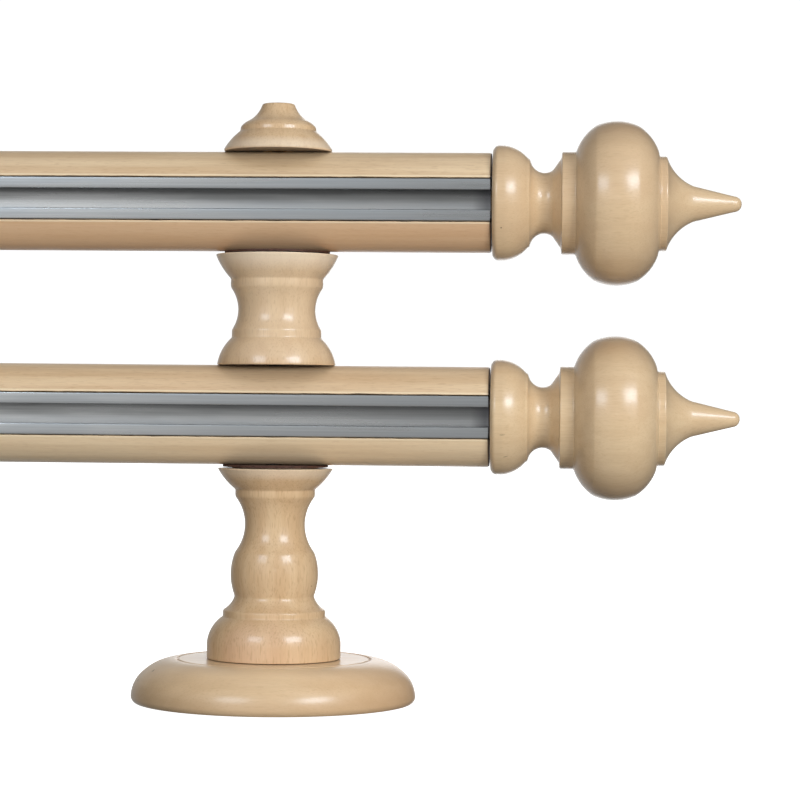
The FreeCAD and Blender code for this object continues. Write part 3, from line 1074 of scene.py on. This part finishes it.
@dataclass
class TrackScrews:
    """Screws that hold one track, each in its packed place."""

    name: str
    places: tuple[float, ...] = (-440.0, -150.0, 150.0, 440.0)
    neck: tuple[float, float] = (0.9, 1.5)
    head: float = 2.4
    head_rim: float = 2.25
    last_row: float = 2.2
    head_step: float = 0.15

    def screw(self, length: float) -> CrossHeadScrew:
        """One screw: fine rows over its head, then its cone and its plain shank."""
        rise, radius = self.neck
        outline = Outline(self.head, (Band(rise, radius), Band(length - rise, radius)),
                          bore=self.head_rim, solid_end=True, edge=0.04)
        rows = tuple((0.0, float(row)) for row in np.arange(0.0, self.last_row, self.head_step))
        return CrossHeadScrew(outline, rows, segments=64)

    def build(self, workshop: Workshop) -> None:
        """Sets the screws along the track's floor, one after another in one mesh."""
        node = f"{self.name}_track_screws"
        low, high = node_box(node)
        screw = self.screw((high[1] - low[1]) / MM)
        points, faces = [], []
        for place in self.places:
            base = (place * MM, low[1], (low[2] + high[2]) / 2)
            more, around = screw.surface(Spindle(base, (0.0, 1.0, 0.0)))
            shift = sum(len(part) for part in points)
            faces += [[shift + vertex for vertex in face] for face in around]
            points.append(more)
        workshop.fit(new_piece(f"{node}_cross_head", np.concatenate(points), faces), "zinc_steel", node)


@dataclass
class Hardware:
    """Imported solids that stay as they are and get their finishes."""

    slots: dict[str, str]

    def build(self, workshop: Workshop) -> None:
        """Dresses each node whose name ends with a word of the list."""
        for node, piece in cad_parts.items():
            for ending, slot in self.slots.items():
                if node.endswith(ending):
                    workshop.dress(piece, slot)
                    LOG.info("%s keeps its solid in %s", node, slot)


COOL = (0.76, 0.9, 1.06)
WHITE = (1.0, 1.0, 1.0)


@dataclass(frozen=True)
class Softbox:
    """Rectangular studio light that looks at the right bracket."""

    name: str
    azimuth: float
    elevation: float
    width: float
    height: float
    power: float
    shows: Shows
    distance: float = 1.05
    colour: Colour = WHITE

    def build(self, target: Vector) -> None:
        """Sets the light on a sphere about the target.

        Args:
            target: The place that it looks at. Azimuth 0 is towards -Y and 90 towards +X.
        """
        turn, lift = math.radians(self.azimuth), math.radians(self.elevation)
        towards = Vector((math.sin(turn) * math.cos(lift), -math.cos(turn) * math.cos(lift), math.sin(lift)))
        lamp = bpy.data.lights.new(self.name, "AREA")
        lamp.shape = "RECTANGLE"
        lamp.size, lamp.size_y = self.width, self.height
        lamp.energy = self.power
        lamp.color = self.colour
        placed = bpy.data.objects.new(self.name, lamp)
        placed.location = target + towards * self.distance
        placed.rotation_euler = towards.to_track_quat("Z", "Y").to_euler()
        placed.visible_diffuse, placed.visible_glossy = self.shows.value
        bpy.context.scene.collection.objects.link(placed)


@dataclass(frozen=True)
class PhotoCamera:
    """Camera at the photograph's place, fitted to the outline of the bracket, poles and finials."""

    beside: float = 77.57
    distance: float = 750.0
    height: float = 85.06
    yaw: float = -3.252
    roll: float = 0.530
    lens: float = 120.37
    sensor: float = 36.0
    sight: tuple[float, float] = (0.02, 60.0)

    def build(self, bracket_x: float) -> None:
        """Adds the camera and makes it the scene's.

        Args:
            bracket_x: Place of the right bracket's axis along X, in metres.
        """
        yaw, roll = math.radians(self.yaw), math.radians(self.roll)
        forward = Vector((math.sin(yaw), math.cos(yaw), 0.0))
        level = Vector((math.cos(yaw), -math.sin(yaw), 0.0))
        upright = level.cross(forward)
        right = math.cos(roll) * level + math.sin(roll) * upright
        above = math.cos(roll) * upright - math.sin(roll) * level
        data = bpy.data.cameras.new("photo_camera")
        data.lens, data.sensor_width = self.lens, self.sensor
        data.clip_start, data.clip_end = self.sight
        camera = bpy.data.objects.new("photo_camera", data)
        turn = Matrix((right, above, -forward)).transposed()
        place = Vector((bracket_x + self.beside * MM, -self.distance * MM, self.height * MM))
        camera.matrix_world = Matrix.Translation(place) @ turn.to_4x4()
        bpy.context.scene.collection.objects.link(camera)
        bpy.context.scene.camera = camera


@dataclass
class Studio:
    """Plain pale floor, soft light and the camera.

    The levels of the surround are what the camera sees, what lies all round the part, the extra light
    behind it and on the left rim, the card's light, and the factors low, zenith, rear, left and shade.
    """

    floor_size: float = 30.0
    floor_drop: float = 0.0003
    floor_glow: float = 1.1
    look_height: float = 0.08
    seen: float = 1.06
    around: float = 0.24
    back: float = 1.5
    low: float = 0.55
    rim: float = 0.38
    rear: float = 2.2
    zenith: float = 2.9
    left: float = 0.45
    card: float = 0.85
    shade: float = 0.3
    lights: tuple[Softbox, ...] = (
        Softbox("key_softbox", 42.0, 28.0, 0.46, 0.3, 4.3, Shows.REFLECTION, colour=COOL),
        Softbox("fill_softbox", -30.0, 28.0, 0.42, 0.3, 2.3, Shows.REFLECTION, colour=COOL),
        Softbox("right_panel", 43.0, 5.0, 0.34, 0.18, 4.9, Shows.COLOUR),
        Softbox("front_panel", 6.0, 5.0, 0.26, 0.18, 3.2, Shows.COLOUR),
        Softbox("left_panel", -34.0, 6.0, 0.17, 0.1, 0.2, Shows.COLOUR, distance=0.52),
    )

    def build(self) -> None:
        """Sets the stage up round the right bracket."""
        low, high = node_box("right_rosette")
        target = Vector(((low[0] + high[0]) / 2, 0.0, self.look_height))
        for light in self.lights:
            light.build(target)
        self.floor()
        self.sky()
        PhotoCamera().build(target.x)
        bpy.context.scene.view_settings.view_transform = "Standard"

    def floor(self) -> None:
        """Flat pale sheet just under the part."""
        half = self.floor_size / 2
        corners = np.array([[-half, -half], [half, -half], [half, half], [-half, half]])
        points = np.column_stack([corners, np.full(4, -self.floor_drop)])
        sheet_object = new_piece("floor", points, [(0, 1, 2, 3)])
        made = bpy.data.materials.new("pale_floor")
        made.use_nodes = True
        shader = made.node_tree.nodes["Principled BSDF"]
        for name, value in (("Base Color", opaque((0.5, 0.5, 0.5))), ("Roughness", 0.9),
                            ("Specular IOR Level", 0.0), ("Emission Color", opaque(WHITE)),
                            ("Emission Strength", self.floor_glow)):
            shader.inputs[name].default_value = value
        sheet_object.data.materials.append(made)
        sheet_object.visible_diffuse = False
        sheet_object.visible_glossy = False

    def sky(self) -> None:
        """Soft surround: dim all round, white behind and where it is the background.

        Reflections see it darker beside and behind the part, and with a pale card in front on the left.
        Each level is a product of smooth rises along the direction's axes.
        """
        world = bpy.data.worlds.new("soft_surround")
        bpy.context.scene.world = world
        world.use_nodes = True
        sheet = NodeSheet(world.node_tree)
        direction = sheet.node("ShaderNodeTexCoord").outputs["Generated"]
        axes = sheet.node("ShaderNodeSeparateXYZ", {0: direction}).outputs
        path = sheet.node("ShaderNodeLightPath").outputs
        products = [sheet.times(*(sheet.between(axes[axis], *ramp) for axis, *ramp in ramps))
                    for ramps in (
                        (("Z", -0.9, -0.2, self.low, 1.0), ("Z", 0.2, 0.8, 1.0, self.zenith),
                         ("X", -0.8, 0.1, self.around * self.left, self.around),
                         ("Y", 0.2, 0.9, 1.0, self.rear)),
                        (("X", -0.26, 0.0, self.card, 0.0), ("X", -0.75, -0.5), ("Y", -0.3, 0.0, 1.0, 0.0),
                         ("Z", -0.25, 0.1, 0.4, 1.0), ("Z", 0.25, 0.5, 1.0, 0.0)),
                        (("X", -0.3, -0.02, self.rim, 0.0), ("Y", 0.5, 0.95)))]
        coloured, card, rim = products
        aside = sheet.between(sheet.calc("ABSOLUTE", axes["X"]), 0.04, 0.28, self.back, 0.0)
        behind = sheet.times(sheet.between(axes["Y"], 0.84, 0.985), aside)
        beside = sheet.between(axes["Y"], -0.4, 0.3, self.around, self.around * self.shade)
        mirrored = sheet.calc("ADD", beside, card, rim)
        lit = sheet.node("ShaderNodeMix", {0: path["Is Glossy Ray"], 2: coloured, 3: mirrored},
                         data_type="FLOAT").outputs[0]
        level = sheet.node("ShaderNodeMix", {0: path["Is Camera Ray"], 2: sheet.calc("ADD", lit, behind),
                                             3: self.seen}, data_type="FLOAT").outputs[0]
        background = world.node_tree.nodes["Background"]
        sheet.put(background.inputs["Strength"], level)
        background.inputs["Color"].default_value = opaque(WHITE)


# Dark brown painted along the seams where one piece meets another: painted shade in the gaps.
SEAM_SHADE = srgb(66, 38, 26)
# Pale line along the wood's edges beside the track's groove: a painted highlight.
LIP_HIGHLIGHT = srgb(246, 228, 196)
# Pale band on the stem's and spacer's rims and on the cap's lip: painted highlight, and painted light on the
# shaded lip.
PAINTED_RIM_LIGHT = srgb(255, 240, 218)
POLE_AXES = (0.0805, 0.1405)
ALL_HEIGHTS = (0.0, 0.2)
IN_SLOT = (-0.0114, 0.0)


def beside_axes(borders: tuple[tuple[float, float], ...], *look: object) -> tuple[Streak, ...]:
    """The same streak between borders above or below each pole's axis.

    Args:
        borders: Low and high border of each streak from the axis, in metres.
        look: The streak's colour, share, softness and, where it has one, depth.

    Returns:
        The streaks, one pole after the other.
    """
    return tuple(Streak(axis + low, axis + high, *look) for axis in POLE_AXES for low, high in borders)


def both_ends(near: float, far: float, *look: object) -> tuple[Streak, ...]:
    """The same streak at both ends of the part, between two distances from its middle."""
    return tuple(replace(Streak(*ALL_HEIGHTS, *look), across=span) for span in ((near, far), (-far, -near)))


FINISHES = {
    "beech_face": BeechFinish(
        "beech_face", Grain.ALONG_X, (0.31, 0.02, 0.0), pale=srgb(224, 195, 156), warm=srgb(214, 183, 142),
        rays=0.15, bump=0.55, coat_roughness=0.24,
        # The pale band over the rosette's crown is painted light from above.
        streaks=(Streak(0.0086, 0.013, srgb(250, 222, 184), 0.35, 0.003),
                 # The darker band low on the rosette's side is painted shade on the part of its edge that
                 # faces down.
                 Streak(-0.01, 0.0045, srgb(186, 152, 114), 0.4, 0.003),
                 Streak(-0.1, 0.2, srgb(204, 162, 120), 0.45, 0.03, across=(0.562, 1.0))),
        specks=(Speck((0.50815, -0.01469, 0.00929), 0.0007), Speck((0.50349, -0.01143, 0.00639), 0.0005))),
    "beech_turned": BeechFinish(
        "beech_turned", Grain.ALONG_Z, (0.013, 0.007, 0.0), rays=0.36, turning=0.5,
        streaks=(Streak(0.0958, 0.13, srgb(240, 218, 188), 0.3, 0.003),
                 # The pale streaks at the spacer's and stem's rims are painted highlights; the one at the
                 # cap's lip is painted light on a shaded face.
                 Streak(0.1222, 0.13, PAINTED_RIM_LIGHT, 0.45, 0.0035), Streak(0.0632, 0.07, PAINTED_RIM_LIGHT, 0.35, 0.002),
                 # The dark streaks at the stem's foot and under the spacer and the cap are painted shade in
                 # the seams.
                 Streak(0.1545, 0.1572, PAINTED_RIM_LIGHT, 0.4, 0.0018), Streak(0.0115, 0.01222, SEAM_SHADE, 0.9, 0.00012),
                 *(Streak(seam, seam + 0.0006, SEAM_SHADE, 0.85, 0.0001) for seam in (0.094, 0.154))),
        specks=(Speck((0.55095, -0.00506, 0.0328), 0.00022, 0.7, 0.5, (-0.0011, -0.0006, 0.0006)),)),
    "beech_pole": BeechFinish(
        "beech_pole", Grain.ALONG_X, (0.0, 0.01, 0.0), pale=srgb(236, 212, 175), warm=srgb(210, 178, 137),
        pink=srgb(216, 184, 148), rays=0.21, bands=0.7, coat=0.5, coat_roughness=0.3,
        # The browner band under the upper pole's track is partly the wood's own tone and partly painted
        # shade on its lower half.
        streaks=(Streak(0.125, 0.1345, srgb(210, 164, 124), 0.55, 0.002),
                 # The pale band under the lower pole's axis is painted light from below.
                 Streak(0.062, 0.0745, srgb(250, 226, 190), 0.35, 0.003),
                 # The pale lines along the groove's lips are a painted highlight.
                 *beside_axes(((-0.00665, -0.00625), (0.00635, 0.00675)),
                              LIP_HIGHLIGHT, 0.7, 0.0002, (-1.0, 0.0)),
                 # The dark bands at the pole's ends are painted shade where the finials meet them.
                 *both_ends(0.59992, 1.0, SEAM_SHADE, 0.85, 0.0001))),
    "beech_finial": BeechFinish(
        "beech_finial", Grain.ALONG_X, (0.11, 0.0, 0.05), pale=srgb(224, 197, 158), warm=srgb(214, 184, 144),
        pink=srgb(216, 184, 146), rays=0.13, turning=0.5, coat=1.0, coat_roughness=0.24,
        # The darker bands over the top and the bottom of each ball are painted shade.
        streaks=(*beside_axes(((-0.024, -0.017), (0.017, 0.0235)), srgb(176, 141, 106), 0.45, 0.007),
                 # The dark band at the finial's back face is painted shade in its joint with the pole.
                 *both_ends(0.5, 0.60064, SEAM_SHADE, 0.7, 0.0001)),
        specks=(Speck((0.60311, -0.01408, 0.1327), 0.00025, 0.8),
                Speck((0.60341, -0.01536, 0.07568), 0.00016, 0.5, 0.3, (0.0018, 0.0, 0.0001)),
                Speck((0.60436, -0.01166, 0.06963), 0.00018, 0.5, 0.3, (0.0022, 0.0, 0.0002)))),
    "raw_dowel": MattFinish("raw_beech", srgb(214, 182, 142), srgb(186, 148, 108), (60.0, 1500.0, 1500.0)),
    "aluminium_track": AluminiumFinish("mill_aluminium", streaks=(
        # Dark band inside the slot just above each pole's axis: painted shade under the upper lip.
        *beside_axes(((0.0005, 0.004),), (0.14, 0.14, 0.14), 0.7, 0.0032, IN_SLOT),
        # Pale band inside the slot just below each pole's axis: painted light on the channel's inner wall.
        *beside_axes(((-0.004, -0.0008),), (0.95, 0.95, 0.94), 0.38, 0.0022, IN_SLOT),
        # Darker inside the channel near both ends: painted shade.
        *both_ends(0.597, 1.0, (0.1, 0.1, 0.12), 0.6, 0.004, (-0.0106, 0.01)))),
    "zinc_steel": PlatedFinish("zinc_plated_steel", (0.58, 0.6, 0.63), (0.4, 0.42, 0.46)),
    "black_steel": PlatedFinish("black_oxide_steel", (0.045, 0.045, 0.05), (0.02, 0.02, 0.022), 0.45),
    "brass_insert": PlatedFinish("drawn_brass", (0.72, 0.5, 0.2), (0.55, 0.36, 0.13)),
    "leather_washer": MattFinish("brown_leather", srgb(84, 52, 38), srgb(54, 32, 24),
                                 (900.0, 900.0, 2400.0), 0.6),
}

HARDWARE = {
    "wall_plate": "zinc_steel", "stud": "black_steel", "clamp_washer": "zinc_steel",
    "clamp_nut": "zinc_steel", "seat_washer": "leather_washer",
    "cap_insert": "brass_insert", "dowel": "raw_dowel",
}


def corners(box: tuple[Vector, Vector]) -> list[list[float]]:
    """A box as plain lists of numbers."""
    return [[float(value) for value in corner] for corner in box]


def main() -> None:
    """Builds the studio and the pieces in order."""
    logging.basicConfig(level=logging.INFO, format="%(name)s: %(message)s")
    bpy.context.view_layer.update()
    workshop = Workshop(FINISHES)
    Studio().build()
    for side in SIDES:
        Bracket(side).build(workshop)
    for name in POLES:
        Pole(name).build(workshop)
        Track(name).build(workshop)
        TrackScrews(name).build(workshop)
        for side in SIDES:
            Finial(name, side).build(workshop)
    Hardware(HARDWARE).build(workshop)


if __name__ == "__main__":
    main()
